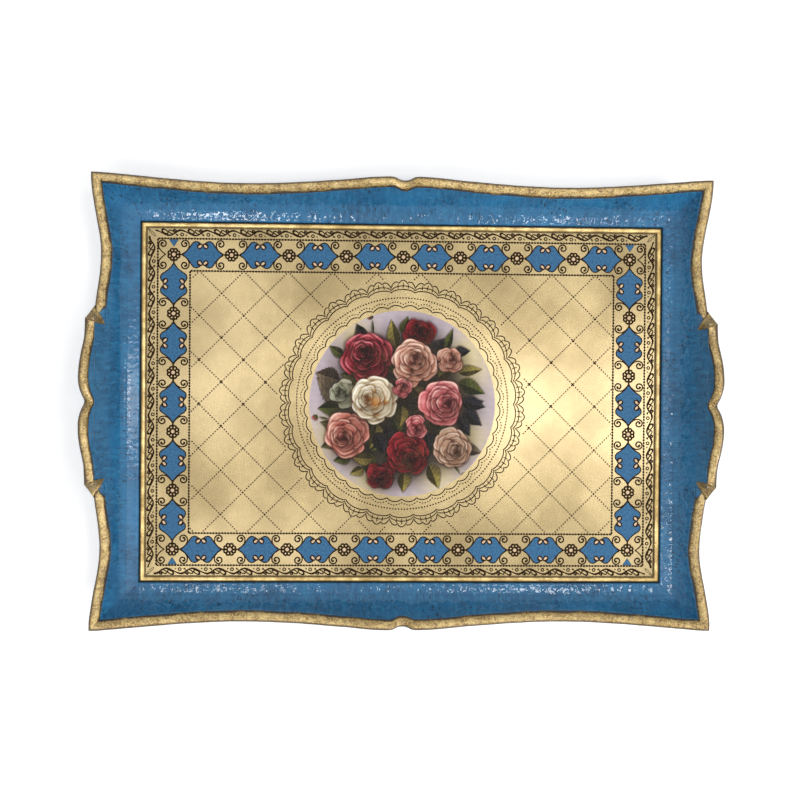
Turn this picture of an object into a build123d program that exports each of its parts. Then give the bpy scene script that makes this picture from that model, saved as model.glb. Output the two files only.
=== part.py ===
from build123d import *
from math import atan2, cos, hypot, radians, sin, sqrt
import os

# A gilt serving tray: four mitred wall rails of one coved section stand around a flat
# panel, and the two end rails carry a glued-on crest that makes the raised handles.
# X runs along the tray, Y across it, and the underside rests on z = 0.

# ---- Overall sizes ----
tray_length = 560.0
tray_width = 400.0
handle_height = 56.0

# ---- Panel ----
board_thickness = 5.0
print_thickness = 0.4
medallion_radius = 83.0
medallion_thickness = 0.3
bead_width = 5.5
bead_side_height = 1.2
bead_height = 3.2

# ---- Wall section, measured outwards from the edge of the panel and up from z = 0 ----
rebate_width = 7.0
rebate_clearance = 0.3
foot_width = 10.0
toe_height = 9.0
crease_reach = 11.0
crease_height = 12.5
top_reach = 39.0
cove_half_angle = radians(12)
rim_width = 8.3

# ---- Sawn top edges ----
corner_height = 40.5
end_slope = 0.12
long_crown_height = 39.4
long_crown_at = 22.0
long_notch_height = 35.3
long_dip_height = 30.0
end_dip_height = 29.4
step_height = 36.8
notch_half_width = 8.0
notch_shoulder_drop = 0.6

# ---- Handles ----
handle_half_length = 72.0
step_rise = 6.7
crest_end_thickness = 1.2
crest_hump_at = 21.0
crest_waist_at = 50.0
crest_waist_share = 0.48
crest_notch_share = 0.2
crest_shoulder_share = 0.87
spur_length = 13.0
spur_root_radius = 3.6
spur_taper = 14.0
spur_rim_drop = 3.6
spur_lean = 0.42
spur_fall = 0.16

# ---- Fasteners ----
v_nail_leg = 4.5
v_nail_thickness = 0.6
v_nail_height = 9.0
v_nail_reaches = (9.5, 13.5)
pin_diameter = 1.2
pin_head_diameter = 2.4
pin_head_height = 0.7
pin_length = 8.4
pins_per_long_side = 5
pins_per_end = 3

# ---- Worked out from the sizes above ----
print_top = board_thickness + print_thickness
full_reach = top_reach + rim_width
joint_height = step_height + step_rise
pin_reach = rebate_width / 2
cut_margin = 5.0
level = (1, 0)

chord_run = top_reach - crease_reach
chord_rise = handle_height - crease_height
chord_angle = atan2(chord_rise, chord_run)
cove_radius = hypot(chord_run, chord_rise) / 2 / sin(cove_half_angle)
centre_depth = cove_radius * cos(cove_half_angle)
cove_centre_reach = (crease_reach + top_reach) / 2 - centre_depth * sin(chord_angle)
cove_centre_height = (crease_height + handle_height) / 2 + centre_depth * cos(chord_angle)


def cove_reach(height):
    """How far the coved inner face has leant out at this height."""
    return cove_centre_reach + sqrt(cove_radius**2 - (height - cove_centre_height) ** 2)


corner_reach = cove_reach(corner_height)
panel_length = tray_length - 2 * full_reach
panel_width = tray_width - 2 * (corner_reach + rim_width)


# ---- Planes of one side of the tray ----
def outward(turn):
    return Vector(0, 1, 0).rotate(Axis.Z, turn)


def lengthwise(turn):
    return outward(turn).cross(Vector(0, 0, 1))


def half_side(turn):
    """Half the panel's length along this side, and how far the side is from the middle."""
    on_end = turn % 180 == 90
    along, away = (panel_width, panel_length) if on_end else (panel_length, panel_width)
    return along / 2, away / 2


def side_origin(turn):
    return outward(turn) * half_side(turn)[1]


def plan_plane(turn, height=0.0):
    """Looking down: x along the side, y outwards."""
    origin = side_origin(turn) + Vector(0, 0, height)
    return Plane(origin=origin, x_dir=lengthwise(turn), z_dir=(0, 0, 1))


def section_plane(turn):
    """Looking along the side: x outwards, y up."""
    return Plane(origin=side_origin(turn), x_dir=outward(turn), z_dir=lengthwise(turn))


def elevation_plane(turn):
    """Looking at the side from outside: x along the side, y up."""
    return Plane(origin=side_origin(turn), x_dir=lengthwise(turn), z_dir=outward(turn) * -1)


# ---- Shared profiles ----
def wall_section(turn):
    """The section that every wall rail and crest is cut from."""
    middle_height = (crease_height + handle_height) / 2
    middle_reach = cove_reach(middle_height)
    with BuildSketch(section_plane(turn)) as section:
        with BuildLine():
            Polyline(
                (crease_reach, crease_height),
                (0, toe_height),
                (0, print_top),
                (rebate_width, print_top),
                (rebate_width, 0),
                (rebate_width + foot_width, 0),
                (crease_reach + rim_width, crease_height),
            )
            ThreePointArc(
                (crease_reach + rim_width, crease_height),
                (middle_reach + rim_width, middle_height),
                (full_reach, handle_height),
            )
            Line((full_reach, handle_height), (top_reach, handle_height))
            ThreePointArc(
                (top_reach, handle_height),
                (middle_reach, middle_height),
                (crease_reach, crease_height),
            )
        make_face()
    return section.sketch


def mitred_plan(turn, reach):
    """A trapezium whose ends lie on the mitre planes, out to this reach."""
    half = half_side(turn)[0]
    with BuildSketch(plan_plane(turn)) as plan:
        with BuildLine():
            Polyline((-half, 0), (half, 0), (half + reach, reach), (-half - reach, reach), close=True)
        make_face()
    return plan.sketch


def edge_to_corner(turn, start, dip_height):
    """The wavy top edge of one half of a rail, from start to just past the corner."""
    corner_at = half_side(turn)[0] + corner_reach
    past_corner = corner_at + rim_width + cut_margin
    Spline(
        start,
        ((start[0] + corner_at) / 2, dip_height),
        (corner_at, corner_height),
        tangents=[(1, -end_slope), (1, end_slope)],
    )
    Polyline(
        (corner_at, corner_height),
        (past_corner, corner_height),
        (past_corner, 0),
        (0, 0),
    )


def long_elevation(turn):
    """A low crown in the middle with a small carved notch, then a dip, then the corner."""
    shoulder = (notch_half_width, long_crown_height - notch_shoulder_drop)
    crown = (long_crown_at, long_crown_height)
    with BuildSketch(elevation_plane(turn)) as elevation:
        with BuildLine():
            Spline((0, long_notch_height), shoulder, crown, tangents=[level, level])
            edge_to_corner(turn, crown, long_dip_height)
            Line((0, 0), (0, long_notch_height))
        make_face()
        mirror(about=Plane.YZ)
    return elevation.sketch


def end_elevation(turn):
    """Flat under the crest, a step down at each end of the handle, a dip, then the corner."""
    with BuildSketch(elevation_plane(turn)) as elevation:
        with BuildLine():
            Polyline(
                (0, 0),
                (0, joint_height),
                (handle_half_length, joint_height),
                (handle_half_length, step_height),
            )
            edge_to_corner(turn, (handle_half_length, step_height), end_dip_height)
        make_face()
        mirror(about=Plane.YZ)
    return elevation.sketch


def crest_elevation(turn):
    """Two humps either side of a notch, thinning towards the ends of the handle."""
    thickness = handle_height - joint_height
    notch = (0, joint_height + crest_notch_share * thickness)
    shoulder = (notch_half_width, joint_height + crest_shoulder_share * thickness)
    hump = (crest_hump_at, handle_height)
    waist = (crest_waist_at, joint_height + crest_waist_share * thickness)
    end_top = (handle_half_length, joint_height + crest_end_thickness)
    with BuildSketch(elevation_plane(turn)) as elevation:
        with BuildLine():
            Spline(notch, shoulder, hump, tangents=[level, level])
            Spline(hump, waist, end_top, tangents=[level, (1, -end_slope)])
            Polyline(end_top, (handle_half_length, joint_height), (0, joint_height), notch)
        make_face()
        mirror(about=Plane.YZ)
    return elevation.sketch


# ---- Fastener places ----
def v_nail_profile(corner_x, corner_y, reach):
    """An L of thin steel with its apex on the mitre and one leg in each rail."""
    apex_x = corner_x * (panel_length / 2 + reach)
    apex_y = corner_y * (panel_width / 2 + reach)
    with BuildSketch(Plane.XY) as profile:
        with Locations((apex_x - corner_x * v_nail_leg / 2, apex_y - corner_y * v_nail_thickness / 2)):
            Rectangle(v_nail_leg, v_nail_thickness)
        with Locations((apex_x - corner_x * v_nail_thickness / 2, apex_y - corner_y * v_nail_leg / 2)):
            Rectangle(v_nail_thickness, v_nail_leg)
    return profile.sketch


v_nail_profiles = []
for corner_x in (-1, 1):
    for corner_y in (-1, 1):
        for reach in v_nail_reaches:
            v_nail_profiles.append(v_nail_profile(corner_x, corner_y, reach))


def spread(count, span):
    """Evenly spaced places with half a space left at each end."""
    space = span / count
    return [space * (index + 1 / 2) - span / 2 for index in range(count)]


pin_places = []
for side in (-1, 1):
    for along in spread(pins_per_long_side, panel_length):
        pin_places.append((along, side * (panel_width / 2 + pin_reach)))
    for along in spread(pins_per_end, panel_width):
        pin_places.append((side * (panel_length / 2 + pin_reach), along))


# ---- Spurs: gilt tips of the low rim that run on past each step ----
def spur_plane(turn, end):
    """At the low rim beside the step, pointing along the wall towards the notch."""
    across = outward(turn)
    along = lengthwise(turn)
    height = step_height - spur_rim_drop
    reach = cove_reach(height) + rim_width / 2
    start = side_origin(turn) + across * reach + along * (end * handle_half_length)
    direction = along * -end - across * spur_lean - Vector(0, 0, spur_fall)
    return Plane(origin=start + Vector(0, 0, height), z_dir=direction)


# ---- Wall rails ----
def wall_rail(label, turn, elevation):
    half = half_side(turn)[0]
    on_end = turn % 180 == 90
    section = wall_section(turn)
    plan = mitred_plan(turn, full_reach + cut_margin)
    with BuildPart() as rail:
        add(section)
        extrude(amount=half + full_reach, dir=lengthwise(turn), both=True)
        add(elevation)
        extrude(amount=full_reach + cut_margin, dir=outward(turn), mode=Mode.INTERSECT)
        if on_end:
            for end in (-1, 1):
                with BuildSketch(spur_plane(turn, end)):
                    Circle(spur_root_radius)
                extrude(amount=spur_length, taper=spur_taper)
        add(plan)
        extrude(amount=handle_height, dir=(0, 0, 1), mode=Mode.INTERSECT)
        with BuildSketch(Plane.XY):
            for profile in v_nail_profiles:
                add(profile)
        extrude(amount=v_nail_height, mode=Mode.SUBTRACT)
        with BuildSketch(Plane.XY):
            with Locations(pin_places):
                Circle(pin_diameter / 2)
        extrude(amount=pin_length, mode=Mode.SUBTRACT)
    rail.part.label = label
    export_step(rail.part, f"parts/{label}.step")


# ---- Handle crests ----
def handle_crest(label, turn):
    section = wall_section(turn)
    elevation = crest_elevation(turn)
    with BuildPart() as crest:
        add(section)
        extrude(amount=handle_half_length, dir=lengthwise(turn), both=True)
        add(elevation)
        extrude(amount=full_reach + cut_margin, dir=outward(turn), mode=Mode.INTERSECT)
    crest.part.label = label
    export_step(crest.part, f"parts/{label}.step")


# ---- Beads around the panel ----
def panel_bead(label, turn):
    """A rounded strip in the corner between panel and wall, mitred at its ends."""
    half = half_side(turn)[0]
    with BuildPart() as bead:
        with BuildSketch(section_plane(turn)):
            with BuildLine():
                Polyline(
                    (-bead_width, print_top + bead_side_height),
                    (-bead_width, print_top),
                    (0, print_top),
                    (0, print_top + bead_side_height),
                )
                ThreePointArc(
                    (0, print_top + bead_side_height),
                    (-bead_width / 2, print_top + bead_height),
                    (-bead_width, print_top + bead_side_height),
                )
            make_face()
        extrude(amount=half, both=True)
        with BuildSketch(plan_plane(turn, print_top)):
            with BuildLine():
                inner = half - bead_width
                Polyline((-half, 0), (half, 0), (inner, -bead_width), (-inner, -bead_width), close=True)
            make_face()
        extrude(amount=bead_height + cut_margin, dir=(0, 0, 1), mode=Mode.INTERSECT)
    bead.part.label = label
    export_step(bead.part, f"parts/{label}.step")


os.makedirs("parts", exist_ok=True)

# ---- Base board and its printed sheet, both held under the lips of the rails ----
held_length = panel_length + 2 * (rebate_width - rebate_clearance)
held_width = panel_width + 2 * (rebate_width - rebate_clearance)

with BuildPart() as base_board:
    with BuildSketch(Plane.XY):
        Rectangle(held_length, held_width)
    extrude(amount=board_thickness)
    with BuildSketch(Plane.XY):
        with Locations(pin_places):
            Circle(pin_head_diameter / 2)
    extrude(amount=pin_head_height, mode=Mode.SUBTRACT)
    with BuildSketch(Plane.XY):
        with Locations(pin_places):
            Circle(pin_diameter / 2)
    extrude(amount=board_thickness, mode=Mode.SUBTRACT)
base_board.part.label = "base_board"
export_step(base_board.part, "parts/base_board.step")

with BuildPart() as panel_print:
    with BuildSketch(Plane.XY.offset(board_thickness)):
        Rectangle(held_length, held_width)
        with Locations(pin_places):
            Circle(pin_diameter / 2, mode=Mode.SUBTRACT)
    extrude(amount=print_thickness)
panel_print.part.label = "panel_print"
export_step(panel_print.part, "parts/panel_print.step")

# ---- Rose medallion, a paper disc pasted on the middle of the sheet ----
with BuildPart() as rose_medallion:
    with BuildSketch(Plane.XY.offset(print_top)):
        Circle(medallion_radius)
    extrude(amount=medallion_thickness)
rose_medallion.part.label = "rose_medallion"
export_step(rose_medallion.part, "parts/rose_medallion.step")

# ---- Rails, crests and beads, one per side ----
wall_rail("back_rail", 0, long_elevation(0))
wall_rail("left_rail", 90, end_elevation(90))
wall_rail("front_rail", 180, long_elevation(180))
wall_rail("right_rail", 270, end_elevation(270))
handle_crest("left_handle_crest", 90)
handle_crest("right_handle_crest", 270)
panel_bead("back_bead", 0)
panel_bead("left_bead", 90)
panel_bead("front_bead", 180)
panel_bead("right_bead", 270)

# ---- V-nails pressed up into the mitres from below ----
with BuildPart() as corner_v_nails:
    with BuildSketch(Plane.XY):
        for profile in v_nail_profiles:
            add(profile)
    extrude(amount=v_nail_height)
corner_v_nails.part.label = "corner_v_nails"
export_step(corner_v_nails.part, "parts/corner_v_nails.step")

# ---- Pins that hold the board up against the rails' lips ----
with BuildPart() as board_pins:
    with BuildSketch(Plane.XY):
        with Locations(pin_places):
            Circle(pin_head_diameter / 2)
    extrude(amount=pin_head_height)
    with BuildSketch(Plane.XY):
        with Locations(pin_places):
            Circle(pin_diameter / 2)
    extrude(amount=pin_length)
board_pins.part.label = "board_pins"
export_step(board_pins.part, "parts/board_pins.step")
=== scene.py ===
import math

import bpy
import numpy as np
from mathutils import Matrix, Vector


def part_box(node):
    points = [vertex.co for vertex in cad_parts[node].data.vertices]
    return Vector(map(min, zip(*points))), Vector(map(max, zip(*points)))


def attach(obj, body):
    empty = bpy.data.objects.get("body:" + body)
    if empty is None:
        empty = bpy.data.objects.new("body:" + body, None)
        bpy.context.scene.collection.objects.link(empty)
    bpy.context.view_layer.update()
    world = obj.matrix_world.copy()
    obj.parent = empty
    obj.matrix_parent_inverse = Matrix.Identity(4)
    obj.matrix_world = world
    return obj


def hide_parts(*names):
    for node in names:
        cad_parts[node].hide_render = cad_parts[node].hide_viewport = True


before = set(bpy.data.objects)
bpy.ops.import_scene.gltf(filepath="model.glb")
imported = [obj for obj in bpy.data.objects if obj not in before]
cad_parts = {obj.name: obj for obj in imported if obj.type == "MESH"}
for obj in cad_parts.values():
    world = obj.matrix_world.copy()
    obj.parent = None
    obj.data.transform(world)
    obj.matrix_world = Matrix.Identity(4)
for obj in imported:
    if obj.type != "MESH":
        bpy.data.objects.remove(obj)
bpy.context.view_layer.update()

# A gilt serving tray. Lengths in this script are millimetres until a mesh is made, and every
# ornament is drawn in panel coordinates: x along the tray, y across it, z up.
MM = 0.001


# ---- Sizes read from the frame ----
def box_mm(node):
    low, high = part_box(node)
    return np.array(low) / MM, np.array(high) / MM


bead_low, bead_high = box_mm("back_bead")
crest_low, crest_high = box_mm("left_handle_crest")
panel_half_x = box_mm("front_bead")[1][0]
panel_half_y = box_mm("left_bead")[1][1]
sheet_top = box_mm("panel_print")[1][2]
disc_radius, _, disc_top = box_mm("rose_medallion")[1]
bead_width, bead_top = bead_high[1] - bead_low[1], bead_high[2]
joint_height = crest_low[2]
_, handle_half, handle_top = crest_high
full_reach = box_mm("right_handle_crest")[1][0] - panel_half_x

# ---- The wall's section, as the frame's rails have it ----
toe_height = 9.0
crease = np.array([11.0, 12.5])
rim_width = 8.3
rebate_width = 7.0
foot_reach = 17.0
cove_half_angle = math.radians(12)
roll_height = 4.3
roll_bulge = 0.2
quirk_depth = 0.35
joint_line = 0.2
gilding_depth = 5
crest_cove_points = 14
step_width = 6.0

cove_top = np.array([full_reach - rim_width, handle_top])
cove_chord = cove_top - crease
cove_angle = math.atan2(cove_chord[1], cove_chord[0])
cove_radius = np.hypot(*cove_chord) / 2 / math.sin(cove_half_angle)
cove_centre = (crease + cove_top) / 2 + cove_radius * math.cos(cove_half_angle) * np.array(
    [-math.sin(cove_angle), math.cos(cove_angle)]
)


def cove_reach(height):
    return cove_centre[0] + np.sqrt(cove_radius**2 - (height - cove_centre[1]) ** 2)


def smoothstep(low, high, value):
    t = np.clip((value - low) / (high - low), 0, 1)
    return t * t * (3 - 2 * t)


# ---- Mesh making ----
def put(name, data):
    """A new object in the scene."""
    made = bpy.data.objects.new(name, data)
    bpy.context.scene.collection.objects.link(made)
    return made


def make_object(name, vertices, faces, material, attributes=None, colours=None, sharp=35):
    """A mesh object from millimetre vertices, riding on the tray."""
    mesh = bpy.data.meshes.new(name)
    mesh.from_pydata((np.asarray(vertices) * MM).tolist(), [], faces)
    for key, values in (attributes or {}).items():
        mesh.attributes.new(key, "FLOAT", "POINT").data.foreach_set("value", np.ravel(values))
    for key, values in (colours or {}).items():
        rgba = np.column_stack([values, np.ones(len(values))])
        mesh.attributes.new(key, "FLOAT_COLOR", "POINT").data.foreach_set("color", np.ravel(rgba))
    mesh.materials.append(material)
    mesh.shade_smooth()
    mesh.set_sharp_from_angle(angle=math.radians(sharp))
    mesh.update()
    piece = put(name, mesh)
    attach(piece, "root")
    return piece


def tube_faces(rows, count):
    """The faces of a closed skin over rows of points, each row a ring, with a cap at both ends."""
    faces, last = [], (rows - 1) * count
    for low in range(0, last, count):
        high = low + count
        for here, there in zip(range(count), [*range(1, count), 0]):
            faces.append((high + here, high + there, low + there, low + here))
    return faces + [tuple(range(count)), tuple(range(last + count - 1, last - 1, -1))]


# ---- Node wiring ----
def to_linear(screen):
    """Screen values from 0 to 1, as linear ones."""
    return np.where(screen <= 0.04045, screen / 12.92, ((screen + 0.055) / 1.055) ** 2.4)


def linear(red, green, blue):
    """A colour named by its 0 to 255 screen values, as the linear values that nodes take."""
    return (*to_linear(np.array([red, green, blue]) / 255), 1.0)


class Nodes:
    """A node tree, with short names for the nodes that the materials use."""

    def __init__(self, tree):
        self.tree = tree

    def feed(self, made, inputs):
        """Links what is a socket, and sets what is a number or a colour."""
        for key, value in inputs.items():
            if isinstance(value, bpy.types.NodeSocket):
                self.tree.links.new(value, made.inputs[key])
            else:
                made.inputs[key].default_value = value

    def node(self, kind, inputs=None, **settings):
        made = self.tree.nodes.new("ShaderNode" + kind)
        for key, value in settings.items():
            setattr(made, key, value)
        self.feed(made, inputs or {})
        return made

    def noise(self, place, size_mm, detail=3.0, roughness=0.5, distortion=0.0):
        """Noise whose features are about this size."""
        return self.node("TexNoise", {"Vector": place, "Scale": 1 / (size_mm * MM), "Detail": detail,
                                      "Roughness": roughness, "Distortion": distortion}).outputs["Fac"]

    def stretch(self, place, x, y, z=1):
        return self.node("Mapping", {"Vector": place, "Scale": (x, y, z)}).outputs["Vector"]

    def math(self, operation, first, second=0.0, third=0.0):
        return self.node("Math", {0: first, 1: second, 2: third}, operation=operation).outputs[0]

    def times(self, first, second):
        return self.math("MULTIPLY", first, second)

    def ramp(self, value, low, high):
        """A smooth 0 to 1 step between two values."""
        return self.node("MapRange", {"Value": value, "From Min": low, "From Max": high},
                         interpolation_type="SMOOTHSTEP").outputs["Result"]

    def fall(self, value, low, high):
        """A smooth 1 to 0 step between two values."""
        return self.math("SUBTRACT", 1.0, self.ramp(value, low, high))

    def mix(self, factor, first, second, kind="RGBA"):
        sockets = {"RGBA": (0, 6, 7, 2), "FLOAT": (0, 2, 3, 0)}[kind]
        made = self.node("Mix", dict(zip(sockets, (factor, first, second))), data_type=kind)
        return made.outputs[sockets[3]]

    def between(self, factor, first, second):
        return self.mix(factor, first, second, "FLOAT")

    def over(self, colour, mask, share, *screen_colour):
        """The colour, with another laid over it up to this share where the mask is one."""
        return self.mix(self.times(mask, share), colour, linear(*screen_colour))

    def bump(self, height, depth_mm, strength=1.0):
        return self.node("Bump", {"Height": height, "Strength": strength, "Distance": depth_mm * MM}).outputs["Normal"]

    def attribute(self, name, output="Fac"):
        return self.node("Attribute", attribute_name=name).outputs[output]

    def surface(self, **inputs):
        """The shader's inputs, each named with _ for its spaces."""
        shader = self.tree.nodes["Principled BSDF"]
        self.feed(shader, {key.replace("_", " "): value for key, value in inputs.items()})


def start_material(name):
    """A new material, its nodes and its coordinates."""
    material = bpy.data.materials.new(name)
    material.use_nodes = True
    n = Nodes(material.node_tree)
    return material, n, n.node("TexCoord").outputs["Object"]


# ---- Materials ----
def gilding_colours(n, place):
    """Antique gold: fine bright grains on tan in uneven patches, with brown left in the hollows."""
    grain = n.noise(place, 1.5, 4, 0.7)
    patches = n.noise(place, 9, 4, 0.6)
    tan = n.mix(n.ramp(grain, 0.36, 0.66), linear(104, 78, 36), linear(196, 167, 102))
    warm = n.mix(n.ramp(patches, 0.4, 0.66), tan, n.mix(0.5, tan, linear(226, 200, 136)))
    gold = n.over(warm, n.ramp(n.noise(place, 2.6, 5, 0.75), 0.5, 0.64), 0.7, 84, 58, 26)
    # Brown laid over the gold where the attribute is high: painted shade on the sides that face out and down, and a
    # little antiquing at the groove, varied in patches.
    shade_and_patina = n.math("ADD", n.attribute("shade_and_patina"), n.math("MULTIPLY_ADD", patches, 0.5, -0.25))
    return n.over(gold, n.ramp(shade_and_patina, 0.0, 1.0), 0.92, 56, 37, 15), grain


def painted_wall_material():
    """Blue paint under crinkled varnish, gilt where the gilt attribute is above zero."""
    material, n, place = start_material("painted_wall")
    wobble = n.math("MULTIPLY_ADD", n.noise(place, 3.0), 1.1, -0.55)
    edge = n.math("ADD", n.attribute("gilt"), wobble)
    is_gold = n.ramp(edge, -0.15, 0.25)
    gold, grain = gilding_colours(n, place)

    # Coordinates along and across the wall, drawn out so that brush marks run up and down the slope.
    follow = n.node("CombineXYZ", {0: n.attribute("along"), 1: n.attribute("across")}).outputs[0]
    cloud = n.noise(place, 38, 4, 0.6)
    drag = n.noise(n.stretch(follow, 1, 0.3), 3.5, 4, 0.6)
    blue = n.mix(n.ramp(cloud, 0.3, 0.7), linear(12, 80, 120), linear(26, 106, 152))
    blue = n.over(blue, n.ramp(drag, 0.42, 0.7), 0.6, 44, 122, 164)
    speck = n.ramp(n.noise(n.stretch(follow, 1, 0.4), 1.6, 3, 0.65, 0.8), 0.555, 0.62)
    where = n.ramp(n.noise(place, 24, 3, 0.65), 0.4, 0.58)
    blue = n.over(blue, n.times(speck, where), 0.9, 8, 36, 60)

    # A brown line where paint and gilding meet, which under the roll's inner side is painted shade in the groove; and a
    # pale line along a glued joint, a painted highlight of its edge.
    colour = n.mix(is_gold, blue, gold)
    colour = n.over(colour, n.fall(n.math("ABSOLUTE", edge), 0.25, 1.0), 0.9, 44, 31, 16)
    colour = n.over(colour, n.attribute("joint"), 0.45, 124, 160, 186)
    satin = n.between(n.ramp(n.noise(place, 7, 3), 0.3, 0.7), 0.3, 0.45)

    crinkle = n.noise(place, 5.0, 1.0, 0.35, 0.6)
    fine = n.noise(n.stretch(follow, 1, 0.5), 2.4, 0.5, 0.4)
    # The left wall's varnish lies smoother than the rest.
    from_left = n.node("SeparateXYZ", {0: place}).outputs[0]
    crinkled = n.between(n.ramp(from_left, -0.245, -0.205), 0.3, 1.0)
    skin = n.times(n.between(0.15, crinkle, fine), crinkled)
    varnish = n.bump(n.between(is_gold, skin, n.times(grain, 0.5)), 0.62)
    n.surface(Base_Color=colour, Metallic=n.between(is_gold, 0.0, 0.5), Roughness=n.between(is_gold, satin, 0.4),
              Normal=varnish, Coat_Normal=varnish, Specular_IOR_Level=0.2, Coat_Weight=0.75, Coat_Roughness=0.05)
    return material


def gilded_material():
    """The smoother gilding on the beads: bright along the crown, brown where the gilt attribute nears zero; the bright
    crown is a painted highlight and the brown sides painted shade.
    """
    material, n, place = start_material("gilded_wood")
    grain = n.noise(place, 1.4, 3, 0.6)
    patches = n.noise(place, 12, 4, 0.6)
    gold = n.mix(n.ramp(patches, 0.35, 0.68), linear(172, 142, 78), linear(222, 196, 130))
    gold = n.over(gold, n.ramp(grain, 0.5, 0.75), 0.35, 150, 116, 62)
    edge = n.math("ADD", n.attribute("gilt"), n.math("MULTIPLY_ADD", patches, 1.2, -0.6))
    gold = n.over(gold, n.fall(edge, 0.9, 2.2), 0.8, 120, 94, 44)
    gold = n.over(gold, n.fall(edge, 0.1, 1.0), 0.9, 66, 46, 20)
    n.surface(Base_Color=gold, Metallic=0.55, Roughness=n.between(grain, 0.22, 0.4), Normal=n.bump(grain, 0.12, 0.4),
              Coat_Weight=0.5, Coat_Roughness=0.12)
    return material


def gold_sheet_material():
    """Gold-toned sheet, faintly brushed and clouded, under varnish."""
    material, n, place = start_material("gold_sheet")
    cloud = n.noise(place, 70, 4, 0.55)
    brushed = n.noise(n.stretch(place, 1, 0.06), 0.9, 3, 0.6)
    gold = n.mix(n.ramp(cloud, 0.3, 0.7), linear(152, 132, 88), linear(186, 165, 118))
    gold = n.over(gold, n.ramp(brushed, 0.5, 0.75), 0.22, 146, 122, 74)
    rolled = n.bump(n.between(0.04, n.noise(place, 34, 2, 0.35), brushed), 0.5, 0.4)
    n.surface(Base_Color=gold, Metallic=0.75, Roughness=n.between(cloud, 0.18, 0.28), Normal=rolled,
              Coat_Normal=rolled, Coat_Weight=0.8, Coat_Roughness=0.16)
    return material


def ink_material(name, thin, thick, shine=0.06):
    """Printed ink, a little uneven, duller than the sheet under it."""
    material, n, place = start_material(name)
    patch = n.noise(place, 1.8, 3, 0.6)
    n.surface(Base_Color=n.mix(n.ramp(patch, 0.4, 0.65), thin, thick), Roughness=n.between(patch, 0.4, 0.55),
              Normal=n.bump(patch, 0.05, 0.3), Specular_IOR_Level=shine)
    return material


def rose_print_material():
    """Varnished paper print: its colour is painted on the mesh, with paper grain and faint wear over it."""
    material, n, place = start_material("rose_print")
    fibre = n.noise(place, 0.9, 3, 0.6)
    aged = n.noise(place, 16, 3, 0.6)
    colour = n.over(n.attribute("painting", "Color"), n.ramp(fibre, 0.45, 0.7), 0.05, 226, 206, 168)
    colour = n.over(colour, n.ramp(aged, 0.5, 0.8), 0.1, 150, 120, 84)
    n.surface(Base_Color=colour, Roughness=n.between(aged, 0.3, 0.42), Normal=n.bump(fibre, 0.04, 0.3),
              Specular_IOR_Level=0.1)
    return material


def board_material():
    """Thin plywood under a dark stain, with long grain and pores."""
    material, n, place = start_material("stained_board")
    grain = n.noise(n.stretch(place, 0.05, 1), 2.2, 5, 0.65, 0.4)
    pores = n.noise(n.stretch(place, 0.03, 1), 0.6, 2, 0.6)
    wood = n.mix(n.ramp(grain, 0.35, 0.65), linear(96, 62, 36), linear(146, 102, 62))
    wood = n.over(wood, n.ramp(pores, 0.58, 0.68), 0.6, 52, 32, 18)
    wood = n.over(wood, n.ramp(n.noise(place, 60, 3, 0.6), 0.4, 0.7), 0.35, 112, 70, 40)
    n.surface(Base_Color=wood, Roughness=n.between(grain, 0.45, 0.68),
              Normal=n.bump(n.between(0.4, grain, pores), 0.25, 0.5))
    return material


def steel_material():
    """Wire and strip steel, scratched along its length and stained here and there."""
    material, n, place = start_material("nail_steel")
    scratch = n.noise(n.stretch(place, 1, 1, 0.2), 0.5, 3, 0.6)
    stain = n.noise(place, 2.0, 3, 0.6)
    colour = n.mix(n.ramp(scratch, 0.4, 0.6), linear(132, 130, 126), linear(178, 176, 170))
    colour = n.over(colour, n.ramp(stain, 0.55, 0.75), 0.5, 104, 76, 54)
    n.surface(Base_Color=colour, Metallic=1.0, Roughness=n.between(stain, 0.3, 0.55), Normal=n.bump(scratch, 0.05, 0.4))
    return material


painted_wall = painted_wall_material()
gilded_wood = gilded_material()
brown_ink = ink_material("brown_ink", linear(50, 31, 12), linear(28, 17, 6))
blue_ink = ink_material("blue_ink", linear(42, 102, 142), linear(24, 78, 118), 0.35)
pale_ink = ink_material("pale_ink", linear(226, 200, 168), linear(206, 172, 140))


# ---- The four sides ----
SIDES = {"back": 0, "left": 90, "front": 180, "right": 270}
ENDS = ("left", "right")


def half_side(side):
    """Half the panel's length along one side."""
    return panel_half_y if side in ENDS else panel_half_x


def side_axes(side):
    """Directions outwards and along one side, and the panel's edge there."""
    turn = math.radians(SIDES[side])
    out = np.array([-math.sin(turn), math.cos(turn), 0])
    return out, np.array([out[1], -out[0], 0]), panel_half_x if side in ENDS else panel_half_y


def to_tray(side, along_mm, reach, height):
    """Tray points from places along a side, out from the panel's edge and up."""
    out, along, away = side_axes(side)
    flat = np.multiply.outer(away + np.asarray(reach), out) + np.multiply.outer(np.asarray(along_mm), along)
    return flat + np.multiply.outer(np.asarray(height), (0, 0, 1))


def sawn_edge(node_name, side):
    """The height of a node's wavy top along its side, read from its solid's upper inner edge."""
    out, along, away = side_axes(side)
    mesh = bpy.data.objects[node_name].data
    points = np.empty(len(mesh.vertices) * 3)
    mesh.vertices.foreach_get("co", points)
    points = points.reshape(-1, 3) / MM
    places, reach, heights = points @ along, points @ out - away, points[:, 2]
    on_cove = (heights > max(crease[1] + 5, heights.min() + 0.1)) & (
        np.abs(reach - cove_reach(np.clip(heights, 0, handle_top))) < 0.02)
    on_mitre = on_cove & (np.abs(places) > half_side(side) + reach - 0.02)
    # Of the points down a mitre only its top corner belongs to the edge.
    kept = on_cove & (~on_mitre | (heights > np.max(heights[on_mitre], initial=0) - 0.01))
    tops = {}
    for place, height in zip(np.round(places[kept], 2), heights[kept]):
        tops[float(place)] = max(float(height), tops.get(float(place), 0))
    return np.array(sorted(tops)), np.array([tops[place] for place in sorted(tops)])


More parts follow.
